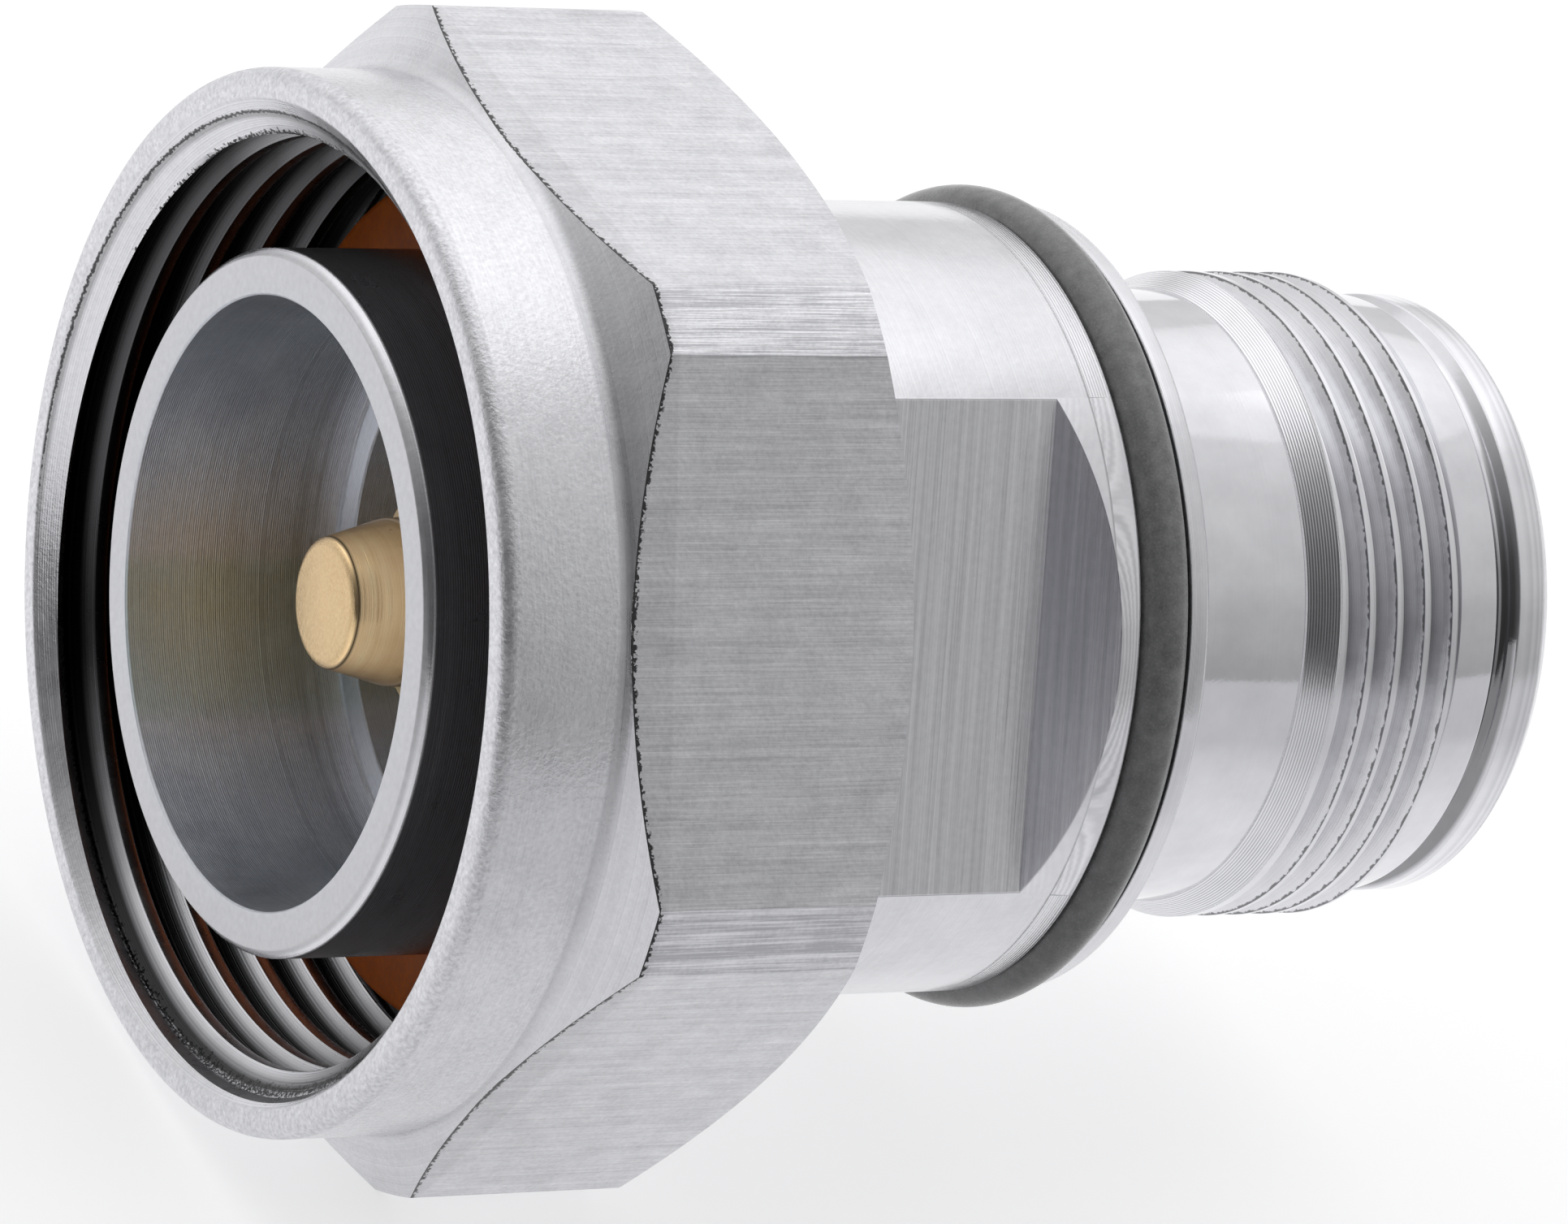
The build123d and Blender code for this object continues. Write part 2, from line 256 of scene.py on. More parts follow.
def noisy(tree, scale, detail, roughness=0.5, **place):
    # W gives noise along a line, Vector noise in space
    kind = "1D" if "W" in place else "3D"
    values = {**place, "Scale": scale, "Detail": detail, "Roughness": roughness}
    return put(tree, "ShaderNodeTexNoise", values, noise_dimensions=kind).outputs[0]


def newGroup(name, inputs, outputs):
    tree = bpy.data.node_groups.new(name, "ShaderNodeTree")
    for label, value in inputs.items():
        socket = tree.interface.new_socket(label, in_out="INPUT", socket_type="NodeSocketFloat")
        socket.default_value = value
    for label in outputs:
        tree.interface.new_socket(label, in_out="OUTPUT", socket_type="NodeSocketFloat")
    return tree, tree.nodes.new("NodeGroupInput").outputs, tree.nodes.new("NodeGroupOutput").inputs


def useGroup(tree, group, **values):
    return put(tree, "ShaderNodeGroup", values, node_tree=group).outputs


def whereabouts():
    # where a point lies on a turned piece, in millimetres, and which way its surface faces there
    tree, given, result = newGroup("whereabouts", {}, ("Along", "Radius", "Lean", "Outward"))
    place = put(tree, "ShaderNodeTexCoord").outputs
    spot, facing = apart(tree, place["Object"]), apart(tree, place["Normal"])
    across = sums(tree, "SQRT", total(tree, product(tree, spot[1], spot[1]), product(tree, spot[2], spot[2])))
    outward = total(tree, product(tree, spot[1], facing[1]), product(tree, spot[2], facing[2]))
    tree.links.new(sums(tree, "DIVIDE", spot[0], mm), result["Along"])
    tree.links.new(sums(tree, "DIVIDE", across, mm), result["Radius"])
    tree.links.new(facing[0], result["Lean"])
    tree.links.new(sums(tree, "DIVIDE", outward, across), result["Outward"])
    return tree


latheMarks = {
    "driftScale": 120.0, "grainDetail": 2.0, "grainRough": 0.7, "bandStep": 0.15,
    "sideChange": 0.12, "patches": (0.3, 0.7), "roughness": (0.88, 1.15),
    "grain": 1.4, "pitHeight": 3.0, "pitTone": 1.2, "patchTone": 0.5, "bandTone": 0.6, "middleTone": 0.6,
    "bump": 0.5, "bumpDepth": 0.012,
}


def turningMarks():
    # lines left by a lathe tool: rings round the axis, on cylinders, cones and faces alike;
    # on a thread's flanks they follow the radius
    inputs = {"Spacing": 0.1, "Wander": 0.1, "Threaded": 0.0}
    tree, given, result = newGroup("turningMarks", inputs, ("Grain", "Feed", "Bands"))
    t = latheMarks
    where = useGroup(tree, placeFinder)
    plain = sums(tree, "SUBTRACT", product(tree, where["Along"], where["Outward"]),
                 product(tree, where["Radius"], where["Lean"]))
    along = blended(tree, plain, where["Radius"], given["Threaded"])
    drift = swing(tree, noisy(tree, t["driftScale"], 1.0, Vector=objectPlace(tree)), given["Wander"])
    steps = total(tree, sums(tree, "DIVIDE", along, given["Spacing"]), drift)
    wave = sums(tree, "SINE", product(tree, steps, fullTurn))
    tree.links.new(noisy(tree, 1.0, t["grainDetail"], t["grainRough"], W=steps), result["Grain"])
    tree.links.new(sums(tree, "MULTIPLY_ADD", wave, 0.5, 0.5), result["Feed"])
    tree.links.new(noisy(tree, 1.0, 1.0, W=product(tree, steps, t["bandStep"])), result["Bands"])
    return tree


def drawnMarks():
    # streaks left along one direction, by the die that draws hexagon bar or by a milling cutter
    labels = {"Along X": 3.0, "Along Y": 0.1, "Along Z": 0.1}
    tree, given, result = newGroup("drawnMarks", labels, ("Fine", "Broad"))
    spot = apart(tree, objectPlace(tree))
    parts = {index: sums(tree, "DIVIDE", spot[index], product(tree, given[label], mm))
             for index, label in enumerate(labels)}
    at = put(tree, "ShaderNodeCombineXYZ", parts).outputs[0]
    for label, scale in (("Fine", 1.0), ("Broad", 0.3)):
        tree.links.new(noisy(tree, scale, 2.0, 0.6, Vector=at), result[label])
    return tree


def mottle():
    # uneven bloom of a plated surface, from specks to patches
    tree, given, result = newGroup("mottle", {"Size": 1.0}, ("Patches", "Specks"))
    place = objectPlace(tree)
    scale = sums(tree, "DIVIDE", 1 / mm, given["Size"])
    tree.links.new(noisy(tree, scale, 3.0, 0.6, Vector=place), result["Patches"])
    tree.links.new(noisy(tree, product(tree, scale, 7.0), 2.0, 0.6, Vector=place), result["Specks"])
    return tree


placeFinder = whereabouts()
marksRound = turningMarks()
marksDrawn = drawnMarks()
bloom = mottle()


def startMaterial(name):
    material = bpy.data.materials.new(name)
    material.use_nodes = True
    tree = material.node_tree
    return material, tree, tree.nodes["Principled BSDF"]


def bumped(tree, shader, height, strength, depth):
    bump = put(tree, "ShaderNodeBump", {"Height": height, "Strength": strength, "Distance": depth * mm})
    tree.links.new(bump.outputs[0], shader.inputs["Normal"])


def machined(name, dark, light, finish, patchSize=1.6, extra=None):
    # finish has a default and zones for the outside and the inside of a turned piece: spacing of
    # the rings in millimetres, feed and grain for how strong even and uneven rings are, pits for
    # the specks, rough for the roughness, shade to darken, threaded where rings follow the radius
    material, tree, shader = startMaterial(name)
    where = useGroup(tree, placeFinder)
    t = latheMarks
    outer = spread(tree, where["Outward"], -t["sideChange"], t["sideChange"])
    level = {}
    for key in ("spacing", "feed", "grain", "rough", "shade", "pits", "threaded"):
        sides = []
        for side in ("inside", "outside"):
            value = finish[side][0].get(key, 0.0)
            for start, end, zone in finish[side][1:]:
                if key in zone:
                    value = blended(tree, value, zone[key], stretch(tree, where["Along"], start, end))
            sides.append(value)
        level[key] = blended(tree, *sides, outer)
    marks = useGroup(tree, marksRound, Spacing=level["spacing"], Threaded=level["threaded"])
    cloud = useGroup(tree, bloom, Size=patchSize)
    feed = product(tree, level["feed"], swing(tree, marks["Feed"]))
    grain = product(tree, level["grain"], swing(tree, marks["Grain"]))
    bands = product(tree, level["grain"], swing(tree, marks["Bands"]))
    pits = product(tree, level["pits"], swing(tree, cloud["Specks"]))
    lines = total(tree, feed, product(tree, grain, t["grain"]))
    spots = total(tree, swing(tree, cloud["Patches"], t["patchTone"]), product(tree, pits, t["pitTone"]))
    wear = spread(tree, cloud["Patches"], *t["patches"], *t["roughness"])
    surface = {
        "height": total(tree, lines, product(tree, pits, t["pitHeight"])),
        "tone": total(tree, lines, spots, product(tree, bands, t["bandTone"]), t["middleTone"]),
        "rough": product(tree, level["rough"], wear),
        "shade": level["shade"],
        "cast": (1, 1, 1, 1),
    }
    if extra:
        extra(tree, where, cloud, surface)
    colour = mixed(tree, coloured(tree, surface["tone"], dark, light), surface["shade"], blend="MULTIPLY")
    # the tint, with any painted reflection on it, multiplies the colour
    tree.links.new(mixed(tree, colour, surface["cast"], blend="MULTIPLY"), shader.inputs["Base Color"])
    tree.links.new(surface["rough"], shader.inputs["Roughness"])
    shader.inputs["Metallic"].default_value = 1.0
    bumped(tree, shader, surface["height"], t["bump"], t["bumpDepth"])
    return material


def shaded(tree, surface, level, where):
    surface["shade"] = blended(tree, surface["shade"], level, where)


silverLight = (0.86, 0.86, 0.89)
silverDark = (0.50, 0.50, 0.525)
barMarks = {
    "flatsFrom": (15.70, 15.74), "stripsFrom": (17.52, 17.56), "front": (3.58, 3.60), "lean": (0.05, 0.25),
    "streak": 0.07, "streakLength": 3.0, "rough": 0.30, "speckHeight": 1.2, "spotTone": 0.7,
    "flatHeight": 1.6, "stripHeight": 3.0, "flatLines": 0.75, "stripLines": 2.4, "flatTone": 0.47,
    "stripTone": 0.38, "bevelRadius": 15.66, "bevelX": 3.62, "bevelSlope": 0.577,
    "burrSpecks": (0.40, 0.60), "burrWidth": (0.03, 0.19), "burrDark": 0.08,
}


def barStock(tree, where, cloud, surface):
    # the nut's flats keep the streaks of the drawn bar, strongest on the narrow corner strips
    b = barMarks
    fine = useGroup(tree, marksDrawn, **{
        "Along X": b["streakLength"], "Along Y": b["streak"], "Along Z": b["streak"],
    })
    upright = falling(tree, sums(tree, "ABSOLUTE", where["Lean"]), *b["lean"])
    onFlats = product(tree, upright, spread(tree, where["Radius"], *b["flatsFrom"]))
    flats = product(tree, onFlats, spread(tree, where["Along"], *b["front"]))
    strips = spread(tree, where["Radius"], *b["stripsFrom"])
    streaks = product(tree, fine["Fine"], blended(tree, b["flatHeight"], b["stripHeight"], strips))
    height = total(tree, streaks, product(tree, cloud["Specks"], b["speckHeight"]))
    lines = sums(tree, "SUBTRACT", total(tree, fine["Broad"], fine["Fine"]), 1.0)
    spots = sums(tree, "SUBTRACT", total(tree, cloud["Specks"], cloud["Patches"]), 1.0)
    lined = product(tree, lines, blended(tree, b["flatLines"], b["stripLines"], strips))
    tone = total(tree, lined, product(tree, spots, b["spotTone"]),
                 blended(tree, b["flatTone"], b["stripTone"], strips))
    surface["height"] = blended(tree, surface["height"], height, flats)
    surface["tone"] = blended(tree, surface["tone"], tone, flats)
    surface["rough"] = blended(tree, surface["rough"], b["rough"], flats)
    # torn burrs stand along the bevel's edge
    outOf = sums(tree, "SUBTRACT", where["Radius"], b["bevelRadius"])
    gap = away(tree, where["Along"], sums(tree, "MULTIPLY_ADD", outOf, b["bevelSlope"], b["bevelX"]))
    torn = spread(tree, cloud["Specks"], *b["burrSpecks"], *b["burrWidth"])
    burr = product(tree, flats, falling(tree, sums(tree, "DIVIDE", gap, torn), 0.6, 1.0))
    shaded(tree, surface, b["burrDark"], burr)
    mouthEdges(tree, where, cloud, surface)


mouthMarks = {
    "pitch": 1.5, "lineX": 0.10, "lineWidth": (0.02, 0.05), "lineRagged": 0.14,
    "grooveX": 0.06, "grooveWidth": (0.03, 0.12), "grooveLevel": 0.5, "dark": 0.10,
    "bevelFront": -0.34, "bevelRear": 0.50, "tornFront": 0.44, "tornRear": 0.56, "tornRagged": 0.6,
    "threadEnd": 8.3, "crest": 13.75, "root": 14.20, "rootDark": 0.06,
    "farSide": (0.004, 0.011), "farSideDark": 0.12,
}


def mouthEdges(tree, where, cloud, surface):
    # where the thread starts on the mouth's bevel a ragged helical line is painted dark, painted shade of a
    # thread start that the mesh lacks, and a dark torn ring runs where the bevel meets the thread; the thread
    # gets painted shade towards its roots and on its +Y side
    m = mouthMarks
    spot = apart(tree, objectPlace(tree))
    turn = sums(tree, "DIVIDE", sums(tree, "ARCTAN2", product(tree, spot[1], -1.0), spot[2]), fullTurn)
    inside = spread(tree, where["Outward"], -0.05, -0.25)
    helix = sums(tree, "SUBTRACT", where["Along"], sums(tree, "MULTIPLY_ADD", turn, m["pitch"], m["lineX"]))
    off = sums(tree, "WRAP", helix, m["pitch"] / 2, -m["pitch"] / 2)
    ragged = swing(tree, cloud["Specks"], m["lineRagged"], off)
    onBevel = product(tree, inside, stretch(tree, where["Along"], m["bevelFront"], m["bevelRear"], 0.02))
    # painted shade: the ragged helical line and the groove beside it stand for the shadow of a thread start
    line = falling(tree, sums(tree, "ABSOLUTE", ragged), *m["lineWidth"])
    groove = falling(tree, away(tree, off, m["grooveX"]), *m["grooveWidth"])
    dark = product(tree, onBevel, sums(tree, "MAXIMUM", line, product(tree, groove, m["grooveLevel"])))
    end = swing(tree, cloud["Specks"], m["tornRagged"], where["Along"])
    torn = product(tree, inside, stretch(tree, end, m["tornFront"], m["tornRear"], 0.02))
    shaded(tree, surface, m["dark"], sums(tree, "MAXIMUM", dark, torn))
    # painted shade: the thread darkens towards its roots, and all over on its +Y side
    inThread = product(tree, inside, stretch(tree, where["Along"], m["bevelRear"], m["threadEnd"], 0.05))
    root = product(tree, spread(tree, where["Radius"], m["crest"], m["root"], 1.0, m["rootDark"]),
                   spread(tree, spot[1], *m["farSide"], 1.0, m["farSideDark"]))
    surface["shade"] = product(tree, surface["shade"], blended(tree, 1.0, root, inThread))


spannerMarks = {
    "streak": 0.075, "streakLength": 9.0, "radiusFrom": (9.42, 9.45), "radiusTo": (12.0, 12.015),
    "front": 12.85, "rear": 22.35, "rough": 0.27,
    "lines": 0.9, "specks": 0.4, "tone": 0.66, "height": 2.0,
}


def milledFlats(tree, where, cloud, surface):
    # the spanner flats and their end walls carry cutter lines across the axis
    f = spannerMarks
    streaks = useGroup(tree, marksDrawn, **{
        "Along X": f["streak"], "Along Y": f["streakLength"], "Along Z": f["streakLength"],
    })
    low = product(tree, spread(tree, where["Radius"], *f["radiusFrom"]),
                  falling(tree, where["Radius"], *f["radiusTo"]))
    flats = product(tree, low, stretch(tree, where["Along"], f["front"], f["rear"], 0.02))
    lines = sums(tree, "SUBTRACT", total(tree, streaks["Broad"], streaks["Fine"]), 1.0)
    tone = total(tree, product(tree, lines, f["lines"]), swing(tree, cloud["Specks"], f["specks"], f["tone"]))
    surface["height"] = blended(tree, surface["height"], product(tree, streaks["Fine"], f["height"]), flats)
    surface["tone"] = blended(tree, surface["tone"], tone, flats)
    surface["rough"] = blended(tree, surface["rough"], f["rough"], flats)
    boreTintAndPaintedReflection(tree, where, surface)


boreMarks = {
    "stripeWay": (0.766, -0.643), "stripeEdge": (0.955, 0.975), "stripeShade": 0.92,
    "plain": (0.95, 0.975, 1.0), "paintedReflection": (0.88, 0.98, 0.94),
}


def boreTintAndPaintedReflection(tree, where, surface):
    # the bore has a faint cool tint, with one darker greenish stripe along it that is a painted reflection
    b = boreMarks
    spot = apart(tree, objectPlace(tree))
    inside = spread(tree, where["Outward"], 0.05, -0.25)
    sideways = total(tree, *(product(tree, spot[index + 1], way) for index, way in enumerate(b["stripeWay"])))
    facing = sums(tree, "DIVIDE", sums(tree, "DIVIDE", sideways, mm), where["Radius"])
    paintedReflection = product(tree, spread(tree, facing, *b["stripeEdge"]), spread(tree, where["Outward"], -0.2, -0.8))
    surface["cast"] = mixed(tree, (1, 1, 1, 1), coloured(tree, paintedReflection, b["plain"], b["paintedReflection"]), inside)
    surface["shade"] = product(tree, surface["shade"], blended(tree, 1.0, b["stripeShade"], paintedReflection))


jackMarks = {
    "threadFront": 31.2, "threadRear": 35.6,
    "edgeFrom": (9.925, 9.95), "edgeTo": (9.98, 9.995), "edgeRagged": 0.2, "edgeDark": 0.3,
    "grooveFront": 37.42, "grooveRear": 38.12, "grooveLow": (0.60, 0.80), "grooveDark": 0.42,
}


def threadEdges(tree, where, cloud, surface):
    # thin dark ragged lines run along the jack's thread crests, and the lower side of its neck groove is
    # painted darker, a painted dark reflection
    j = jackMarks
    spot = apart(tree, objectPlace(tree))
    radius = swing(tree, cloud["Specks"], j["edgeRagged"], where["Radius"])
    edge = product(tree, spread(tree, radius, *j["edgeFrom"]), falling(tree, where["Radius"], *j["edgeTo"]))
    onThread = stretch(tree, where["Along"], j["threadFront"], j["threadRear"], 0.02)
    shaded(tree, surface, j["edgeDark"], product(tree, edge, onThread))
    # painted dark reflection: the neck groove darkens towards its lower side
    height = sums(tree, "DIVIDE", sums(tree, "DIVIDE", spot[2], mm), where["Radius"])
    inGroove = stretch(tree, where["Along"], j["grooveFront"], j["grooveRear"])
    shaded(tree, surface, j["grooveDark"], product(tree, inGroove, falling(tree, height, *j["grooveLow"])))


nutFinish = {
    "outside": [{"spacing": 0.10, "feed": 0.05, "grain": 0.16, "rough": 0.27, "shade": 0.98, "pits": 0.7},
                (-1.0, 0.15, {"pits": 1.3, "grain": 0.1, "rough": 0.42, "shade": 0.95}),
                (3.3, 5.0, {"grain": 0.32, "spacing": 0.09, "pits": 0.35, "shade": 0.9})],
    "inside": [{"spacing": 0.06, "feed": 0.2, "grain": 0.9, "rough": 0.28, "shade": 0.9, "threaded": 1.0},
               (-1.0, 0.45, {"grain": 0.5, "threaded": 0.0, "spacing": 0.08, "feed": 0.25, "pits": 0.4}),
               (-1.0, -0.33, {"grain": 0.1, "feed": 0.0, "pits": 1.3, "rough": 0.42, "shade": 0.95})],
}
plugFinish = {
    "outside": [{"spacing": 0.10, "feed": 0.05, "grain": 0.14, "rough": 0.20, "shade": 1.0, "pits": 0.2},
                (-1.0, 0.12, {"grain": 0.05, "feed": 0.0, "pits": 0.4, "rough": 0.38, "shade": 0.78}),
                # painted shade: the tube's outside is darkened, standing for the dark reflection of the nut's
                # unlit inside
                (0.28, 6.5, {"spacing": 0.07, "feed": 0.6, "grain": 0.5, "rough": 0.3, "shade": 0.28}),
                (22.0, 23.0, {"feed": 0.45, "grain": 0.4, "spacing": 0.085})],
    "inside": [{"spacing": 0.068, "feed": 0.5, "grain": 0.6, "rough": 0.36, "shade": 1.04, "pits": 0.4},
               (-1.0, 0.04, {"grain": 0.05, "feed": 0.0, "pits": 0.4, "rough": 0.38, "shade": 0.78})],
}
jackFinish = {
    "outside": [{"spacing": 0.09, "feed": 0.0, "grain": 0.06, "rough": 0.08, "shade": 1.0, "pits": 0.06},
                (24.4, 25.3, {"feed": 0.4, "grain": 0.3}),
                (30.32, 31.25, {"feed": 1.0, "grain": 0.25, "spacing": 0.085, "rough": 0.2}),
                (31.25, 36.0, {"threaded": 1.0, "shade": 1.04,
                               "grain": 0.35, "spacing": 0.05, "rough": 0.23}),
                (38.2, 39.6, {"feed": 0.3, "grain": 0.25, "rough": 0.18})],
    "inside": [{"spacing": 0.08, "feed": 0.4, "grain": 0.4, "rough": 0.25, "shade": 0.85}],
}
goldFinish = {
    "outside": [{"spacing": 0.035, "feed": 0.1, "grain": 0.5, "rough": 0.24, "shade": 1.15},
                (1.5, 2.1, {"grain": 0.04, "rough": 0.3, "pits": 0.8, "shade": 0.74}),
                # painted dark reflection: a thin dark ring round the tip's rounded edge
                (2.19, 2.27, {"shade": 0.1})],
    "inside": [{"spacing": 0.05, "feed": 0.1, "grain": 0.4, "rough": 0.24, "shade": 0.8}],
}
plainFinish = {
    "outside": [{"spacing": 0.08, "feed": 0.1, "grain": 0.4, "rough": 0.3, "shade": 1.0}],
    "inside": [{"spacing": 0.08, "feed": 0.1, "grain": 0.4, "rough": 0.3, "shade": 0.9}],
}
goldDark, goldLight = (0.62, 0.39, 0.19), (1.0, 0.77, 0.45)
nutMaterial = machined("nutSilver", silverDark, silverLight, nutFinish, 1.0, barStock)
bodyMaterial = machined("bodySilver", silverDark, silverLight, plugFinish, 1.6, milledFlats)
jackMaterial = machined("jackSilver", silverDark, silverLight, jackFinish, 1.6, threadEdges)
goldMaterial = machined("pinGold", goldDark, goldLight, goldFinish, 0.8)
socketMaterial = machined("socketGold", goldDark, goldLight, goldFinish, 0.8)
ringMaterial = machined("ringBronze", (0.42, 0.34, 0.24), (0.70, 0.60, 0.46), plainFinish, 0.8)


def moulded(name, dark, light, rough, size, strength):
    # rubber and plastic, mottled from dark to light; size is the mottle's, in millimetres
    material, tree, shader = startMaterial(name)
    cloud = useGroup(tree, bloom, Size=size)
    tone = total(tree, product(tree, cloud["Patches"], 0.6), product(tree, cloud["Specks"], 0.4))
    tree.links.new(coloured(tree, spread(tree, tone, 0.35, 0.65), dark, light), shader.inputs["Base Color"])
    wear = spread(tree, cloud["Specks"], 0.3, 0.7, rough * 0.8, rough * 1.15)
    tree.links.new(wear, shader.inputs["Roughness"])
    bumped(tree, shader, cloud["Specks"], strength, 0.01)
    return material


siliconeMaterial = moulded("orangeSilicone", (0.52, 0.105, 0.006), (0.78, 0.180, 0.012), 0.55, 1.2, 0.1)
rubberMaterial = moulded("greyRubber", (0.140, 0.141, 0.141), (0.260, 0.261, 0.261), 0.25, 0.5, 0.3)
plasticMaterial = moulded("whiteInsulator", (0.70, 0.70, 0.68), (0.80, 0.80, 0.78), 0.4, 1.5, 0.08)
print("materials ready")


nut = {
    "columns": 360,
    "front": -0.37, "rear": 13.10,
    "mouthRadius": 14.78, "mouthDepth": 0.88, "mouthEdge": 0.05, "collarRadius": 15.66, "edgeRound": 0.45,
    "flatRadius": 15.75, "cornerRadius": 17.575,
    "coneRoot": 3.60, "coneRound": 0.47, "coneAngle": 30.0, "coneLength": 1.1,
    "rearFaceRadius": 15.25, "rearCone": 1.3,
    "threadPitch": 1.5, "threadCrest": 13.70, "threadRoot": 14.50, "threadEnd": 7.08, "threadPhase": 0.5,
    "threadInset": 0.07, "threadRunout": 1.0,
    "reliefRadius": 14.70, "lipFront": 9.55, "lipRadius": 12.25,
    "grooveFront": 10.55, "grooveRear": 11.65, "grooveRadius": 13.25, "rearChamfer": 0.3,
    "halfFlatAngle": 26.35,
}


def nutHexagon(bm, n):
    # presses the hexagon and its bevelled corners out of the turned blank
    slope = math.tan(math.radians(n["coneAngle"]))
    arcEnd = math.radians(90 - n["coneAngle"])
    arcX = n["coneRoot"] - n["coneRound"] * math.tan(arcEnd / 2)
    arcRadius = n["collarRadius"] + n["coneRound"]
    coneStart = arcRadius - n["coneRound"] * math.cos(arcEnd)
    half = n["halfFlatAngle"]
    corner = math.floor(half)
    sector, hair = 60, 0.001
    for vert in bm.verts:
        x, radius = vert.co.x / mm, math.hypot(vert.co.y, vert.co.z) / mm
        if x < arcX - hair or radius < n["rearFaceRadius"] - hair:
            continue
        onRound = x < n["coneRoot"] + 0.5 and radius < coneStart + 0.01
        onSide = radius > n["rearFaceRadius"] + 0.5
        atRear = x > n["rear"] - 3
        angle = math.degrees(math.atan2(-vert.co.y, vert.co.z))
        side = round(angle / sector)
        lean = angle - sector * side
        # the columns shift a little, so that one stands on each edge of a flat
        if abs(lean) <= corner:
            lean *= half / corner
        else:
            rest = (abs(lean) - corner) * (sector / 2 - half) / (sector / 2 - corner)
            lean = math.copysign(half + rest, lean)
        edge = min(n["flatRadius"] / math.cos(math.radians(lean)), n["cornerRadius"])
        reach = min(edge, coneStart)
        sweep = math.acos((arcRadius - reach) / n["coneRound"])
        if onRound:
            part = math.atan2(x - arcX, arcRadius - radius) / arcEnd * sweep
            x, radius = arcX + n["coneRound"] * math.sin(part), arcRadius - n["coneRound"] * math.cos(part)
        elif onSide:
            radius = edge
            if atRear:
                x = n["rear"] - (edge - n["rearFaceRadius"]) * slope
            elif edge > coneStart:
                x = n["coneRoot"] + (edge - n["collarRadius"]) * slope
            else:
                x = arcX + n["coneRound"] * math.sin(sweep)
        turn = math.radians(sector * side + lean)
        vert.co = (x * mm, -radius * math.sin(turn) * mm, radius * math.cos(turn) * mm)


def makeNut(n):
    mouthSlope = (n["mouthRadius"] - n["threadCrest"]) / n["mouthDepth"]
    threadStart = n["front"] + n["threadInset"]
    threadRear = n["threadEnd"] + n["threadRunout"]
    coneCut = n["coneRound"] * math.tan(math.radians(90 - n["coneAngle"]) / 2)
    bm = turned(
        [
            (threadStart, n["mouthRadius"] - n["threadInset"] * mouthSlope),
            (n["front"], n["mouthRadius"], n["mouthEdge"]),
            (n["front"], n["collarRadius"], n["edgeRound"]),
            (n["coneRoot"], n["collarRadius"], coneCut),
            (n["coneRoot"] + n["coneLength"], n["cornerRadius"]),
            (n["rear"] - n["rearCone"], n["cornerRadius"]),
            (n["rear"], n["rearFaceRadius"]),
            (n["rear"], n["lipRadius"] + n["rearChamfer"]),
            (n["rear"] - n["rearChamfer"], n["lipRadius"]),
            (n["grooveRear"], n["lipRadius"]),
            (n["grooveRear"], n["grooveRadius"]),
            (n["grooveFront"], n["grooveRadius"]),
            (n["grooveFront"], n["lipRadius"]),
            (n["lipFront"], n["lipRadius"]),
            (n["lipFront"], n["reliefRadius"]),
            (threadRear, n["reliefRadius"]),
        ],
        n["columns"], segments=6,
    )
    nutHexagon(bm, n)

    def shape(x, radius):
        # the mouth's bevel and the relief behind the thread open the bore
        mouth = n["mouthRadius"] - (x - n["front"]) * mouthSlope
        relief = n["threadCrest"] + x - n["threadEnd"]
        return max(radius, mouth, relief)

    crest, root = n["threadCrest"], n["threadRoot"]
    tooth = [
        (0, crest), (0.20, crest, 0.08), (0.66, root, 0.06),
        (0.84, root, 0.06), (1.30, crest, 0.05), (n["threadPitch"], crest),
    ]
    threadOn(bm, tooth, n["threadPitch"], threadStart, threadRear, n["columns"], n["threadPhase"], shape)
    return finished(bm, "coupling_nut_machined", "nut", "coupling_nut", nutMaterial)


makeNut(nut)


plug = {
    "columns": 300,
    "tubeRadius": 10.40, "boreRadius": 9.015, "outerChamfer": 0.26, "outerEdge": 0.04,
    "mouthChamfer": 0.06, "mouthEdge": 0.02,
    "reference": 7.1, "lineRadius": 8.0, "lineEdge": 0.06, "cornerRound": 0.12,
    "gasketFront": 6.0, "collarFront": 7.6, "seatRadius": 10.2,
    "collarRadius": 12.95, "collarChamfer": 0.3, "collarRear": 9.2,
    "bedFront": 10.25, "bedRear": 12.05, "bedRadius": 10.3,
    "barrelRadius": 12.03, "barrelEnd": 22.85, "barrelEdge": 0.08,
    "pocketFront": 13.4, "pocketRadius": 8.3,
    "flatRadius": 9.5, "flatStart": 12.9, "flatEnd": 20.9, "flatRunout": 1.3, "flatAngle": 24.3,
    "cutterReach": 2.0,
}


def flatCutter(p, side):
    # the block that a milling cutter clears for one spanner flat
    slope = p["flatRunout"] / (p["barrelRadius"] - p["flatRadius"])
    clear = p["barrelRadius"] + p["cutterReach"]
    cutter = bmesh.new()
    outline = [
        (p["flatStart"], p["flatRadius"]),
        (p["flatEnd"], p["flatRadius"]),
        (p["flatEnd"] + slope * (clear - p["flatRadius"]), clear),
        (p["flatStart"], clear),
    ]
    verts = [cutter.verts.new((x * mm, -p["barrelRadius"] * mm, height * mm)) for x, height in outline]
    face = cutter.faces.new(verts)
    sweep = bmesh.ops.extrude_face_region(cutter, geom=[face])
    moved = [item for item in sweep["geom"] if isinstance(item, bmesh.types.BMVert)]
    bmesh.ops.translate(cutter, verts=moved, vec=(0, 2 * p["barrelRadius"] * mm, 0))
    turn = math.radians(90 - p["flatAngle"] + side)
    spin = ((1, 0, 0), (0, math.cos(turn), -math.sin(turn)), (0, math.sin(turn), math.cos(turn)))
    for vert in cutter.verts:
        vert.co = Vector([sum(row[i] * vert.co[i] for i in range(3)) for row in spin])
    return cutter


